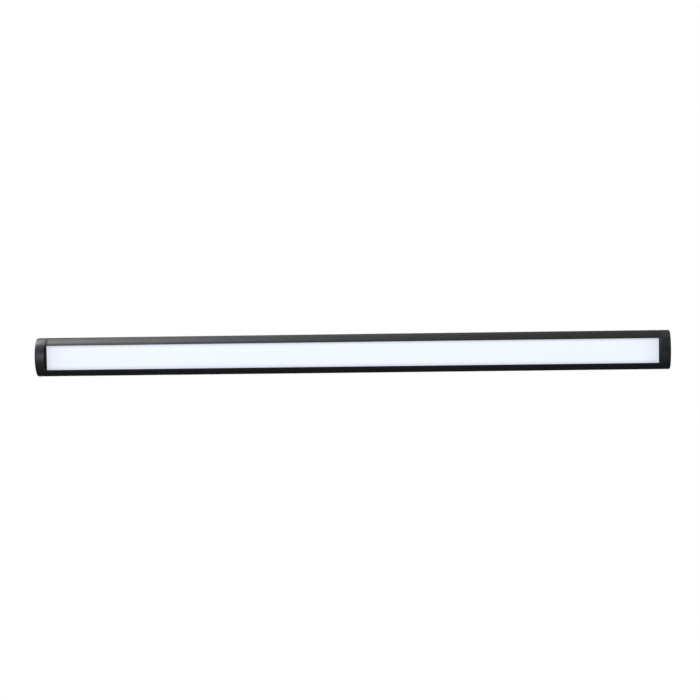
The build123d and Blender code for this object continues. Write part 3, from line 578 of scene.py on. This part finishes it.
def component_finish():
    """Black packages, a glass fuse at the board's left, a wound choke and a red film capacitor."""
    f = Finish("board_components")
    along = f.minus(f.axis("X"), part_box("driver_components")[0].x)
    fuse = f.below(along, FUSE_END, PART_EDGE)
    choke = f.between(along, *CHOKE_SPAN, PART_EDGE)
    film = f.between(along, *FILM_CAPACITOR_SPAN, PART_EDGE)
    black = f.mix(f.noise(0.6 * MM, detail=4.0), (0.022, 0.022, 0.023), (0.045, 0.045, 0.046))
    turns = f.spread(f.noise(0.3 * MM, stretch=(1.0, 40.0, 40.0)), 0.4, 0.6)
    copper = f.mix(turns, (0.34, 0.12, 0.04), (0.62, 0.27, 0.12))
    base = f.mix(film, black, (0.46, 0.05, 0.03))
    base = f.mix(choke, base, copper)
    f.set("Base Color", f.mix(fuse, base, (0.72, 0.70, 0.62)))
    f.set("Roughness", f.vary(1.2 * MM, 0.3, 0.5, detail=4.0))
    f.relief(f.noise(0.25 * MM), 0.012 * MM)
    return f.done()


FINISHES = {
    "housing": housing_finish,
    "end_cap": cap_finish,
    "gasket": gasket_finish,
    "steel_screw": steel_screw_finish,
    "black_screw": black_screw_finish,
    "thermal_pad": thermal_pad_finish,
    "led_board": led_board_finish,
    "led_package": led_package_finish,
    "connector": connector_finish,
    "reflector": reflector_finish,
    "driver_case": driver_case_finish,
    "circuit_board": circuit_board_finish,
    "transformer": transformer_finish,
    "capacitor": capacitor_finish,
    "component": component_finish,
    "terminal": terminal_finish,
    "brass": brass_finish,
    "live_lead": live_lead_finish,
    "neutral_lead": neutral_lead_finish,
    "earth_lead": earth_lead_finish,
    "red_lead": red_lead_finish,
    "black_lead": black_lead_finish,
    "sheet_steel": galvanised_finish,
    "black_sheet": black_sheet_finish,
    "diffuser": diffuser_finish,
}


# ---- pieces with softened edges ----
SOFT_EDGES = {
    "housing": 0.12 * MM,
    "end_cap_left": 0.14 * MM,
    "end_cap_right": 0.14 * MM,
    "end_gasket_left": 0.08 * MM,
    "end_gasket_right": 0.08 * MM,
    "end_cap_screws_left": 0.08 * MM,
    "end_cap_screws_right": 0.08 * MM,
    "diffuser": 0.10 * MM,
    "rear_cover": 0.12 * MM,
    "rear_cover_screws": 0.05 * MM,
    "wall_plate": 0.15 * MM,
    "cable_grommet": 0.10 * MM,
}
CREASE = math.radians(32)    # edges that turn by more than this are softened
FLAT = math.radians(0.3)     # and faces that turn by less than this are joined
WELD = 0.0005 * MM


def softened(name, width):
    """A welded copy of a node, its creases rounded off and its curved faces shaded smooth."""
    mesh = frame["nodes"][name].data.copy()
    mesh.name = name + "_soft"
    shape = bmesh.new()
    shape.from_mesh(mesh)
    bmesh.ops.remove_doubles(shape, verts=shape.verts, dist=WELD)
    bmesh.ops.dissolve_limit(shape, angle_limit=FLAT, verts=shape.verts, edges=shape.edges)
    shape.to_mesh(mesh)
    shape.free()
    if "custom_normal" in mesh.attributes:
        mesh.attributes.remove(mesh.attributes["custom_normal"])
    mesh.shade_smooth()
    mesh.set_sharp_from_angle(angle=CREASE)
    piece = bpy.data.objects.new(name + "_visual", mesh)
    bpy.context.scene.collection.objects.link(piece)
    rounding = piece.modifiers.new("rounding", "BEVEL")
    rounding.width = width
    rounding.segments = 2
    rounding.limit_method = "ANGLE"
    rounding.angle_limit = CREASE
    rounding.miter_outer = "MITER_ARC"
    rounding.use_clamp_overlap = True
    rounding.harden_normals = True
    return piece


def dress_nodes():
    """Gives every node its finish, and the outer ones a piece with softened edges."""
    record = frame["record"]
    slots = {part["node"]: part["material_slot"] for part in record["subparts"]}
    bodies = {name: body for body, names in record["behaviour"]["bodies"].items() for name in names}
    finishes = {slot: make() for slot, make in FINISHES.items()}
    for name, node in frame["nodes"].items():
        node.data.materials.clear()
        node.data.materials.append(finishes[slots[name]])
        if name in SOFT_EDGES:
            piece = softened(name, SOFT_EDGES[name])
            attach(piece, bodies[name])
            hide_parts(name)
            if name == "diffuser":
                piece.visible_diffuse = False    # it glows, but casts no light on the lips
                piece.visible_glossy = False


# ---- stage ----
def make_camera():
    data = bpy.data.cameras.new("camera")
    data.lens = CAMERA_LENS
    data.sensor_width = SENSOR_WIDTH
    data.clip_start = NEAREST
    data.clip_end = FARTHEST
    camera = bpy.data.objects.new("camera", data)
    bpy.context.scene.collection.objects.link(camera)
    turn = Matrix.Rotation(math.radians(CAMERA_TURN), 4, "Z")
    tilt = Matrix.Rotation(math.radians(90 + CAMERA_TILT), 4, "X")
    roll = Matrix.Rotation(math.radians(CAMERA_ROLL), 4, "Z")
    camera.matrix_world = Matrix.Translation(CAMERA_PLACE) @ turn @ tilt @ roll
    bpy.context.scene.camera = camera


FLOOR_DROP = 2.0         # a wall light hangs about this high above the floor
FLOOR_HALF = 8.0


def make_floor():
    """Wide, plain pale floor below the bar. It neither shades nor tints the bar."""
    shape = bmesh.new()
    corners = [(-1, -1), (1, -1), (1, 1), (-1, 1)]
    shape.faces.new([shape.verts.new((x * FLOOR_HALF, y * FLOOR_HALF, -FLOOR_DROP)) for x, y in corners])
    mesh = bpy.data.meshes.new("floor")
    shape.to_mesh(mesh)
    shape.free()
    floor = bpy.data.objects.new("floor", mesh)
    bpy.context.scene.collection.objects.link(floor)
    f = Finish("pale_floor")
    f.set("Base Color", f.mix(f.noise(0.6, detail=2.0), (0.05, 0.05, 0.05), (0.052, 0.052, 0.052)))
    f.set("Roughness", 0.9)
    f.set("Specular IOR Level", 0.0)
    f.set("Emission Color", WHITE)
    f.set("Emission Strength", 1.0)
    mesh.materials.append(f.done())
    floor.visible_glossy = False
    floor.visible_diffuse = False
    floor.visible_shadow = False


COOL_WHITE = (0.95, 0.96, 1.0)
BLUISH = (0.86, 0.89, 1.0)
GREENISH = (0.94, 1.0, 0.94)
YELLOWISH = (0.97, 1.0, 0.85)

# Soft boxes stand on an arc round the bar: metres along it, degrees round it (0 in front of
# the bar, 90 above it, 180 behind), power in watts and colour.
SOFT_BOXES = {
    "front": (-0.45, 5, 4.0, COOL_WHITE),
    "front_right": (0.75, 30, 1.0, BLUISH),
    "top_far_left": (-1.0, 85, 16.0, COOL_WHITE),
    "top_left": (-0.45, 85, 3.4, COOL_WHITE),
    "top_right": (0.75, 85, 1.3, GREENISH),
    "back_far_left": (-1.0, 105, 13.0, YELLOWISH),
    "back_left": (-0.45, 130, 1.6, COOL_WHITE),
    "back_middle": (0.1, 130, 0.5, COOL_WHITE),
    "low_front": (0.0, -27, 2.2, COOL_WHITE),
    "behind_left": (-0.55, 196, 3.2, COOL_WHITE),
    "behind_right": (0.55, 196, 3.2, COOL_WHITE),
}
BOX_DISTANCE = 1.25
BOX_SIZE = (0.55, 0.42)
AIM = 0.4                # how far along the bar each soft box aims, as a share of its own place
DIM_SKY = (0.74, 0.845, 1.0)
DIM_STRENGTH = 0.06


def add_soft_box(name, along, round_bar, power, color):
    data = bpy.data.lights.new(name, "AREA")
    data.shape = "RECTANGLE"
    data.size, data.size_y = BOX_SIZE
    data.energy = power
    data.color = color
    light = bpy.data.objects.new(name, data)
    bpy.context.scene.collection.objects.link(light)
    angle = math.radians(round_bar)
    place = Vector((along, -BOX_DISTANCE * math.cos(angle), BOX_DISTANCE * math.sin(angle)))
    target = Vector((along * AIM, 0.0, 0.0))
    light.visible_camera = False
    light.location = place
    light.rotation_euler = (target - place).to_track_quat("-Z", "Y").to_euler()


def make_world():
    """A dim cool sky, with a plain white backdrop where the camera looks past everything."""
    world = bpy.data.worlds.new("studio")
    bpy.context.scene.world = world
    world.use_nodes = True
    nodes, links = world.node_tree.nodes, world.node_tree.links
    dim = nodes["Background"]
    dim.inputs["Color"].default_value = (*DIM_SKY, 1.0)
    dim.inputs["Strength"].default_value = DIM_STRENGTH
    backdrop = nodes.new("ShaderNodeBackground")
    backdrop.inputs["Color"].default_value = (*WHITE, 1.0)
    ray = nodes.new("ShaderNodeLightPath")
    choice = nodes.new("ShaderNodeMixShader")
    links.new(ray.outputs["Is Camera Ray"], choice.inputs[0])
    links.new(dim.outputs[0], choice.inputs[1])
    links.new(backdrop.outputs[0], choice.inputs[2])
    links.new(choice.outputs[0], nodes["World Output"].inputs["Surface"])


make_camera()
make_floor()
for box_name, (along, round_bar, power, color) in SOFT_BOXES.items():
    add_soft_box(box_name, along, round_bar, power, color)
make_world()
dress_nodes()
bpy.context.scene.view_settings.view_transform = "Standard"
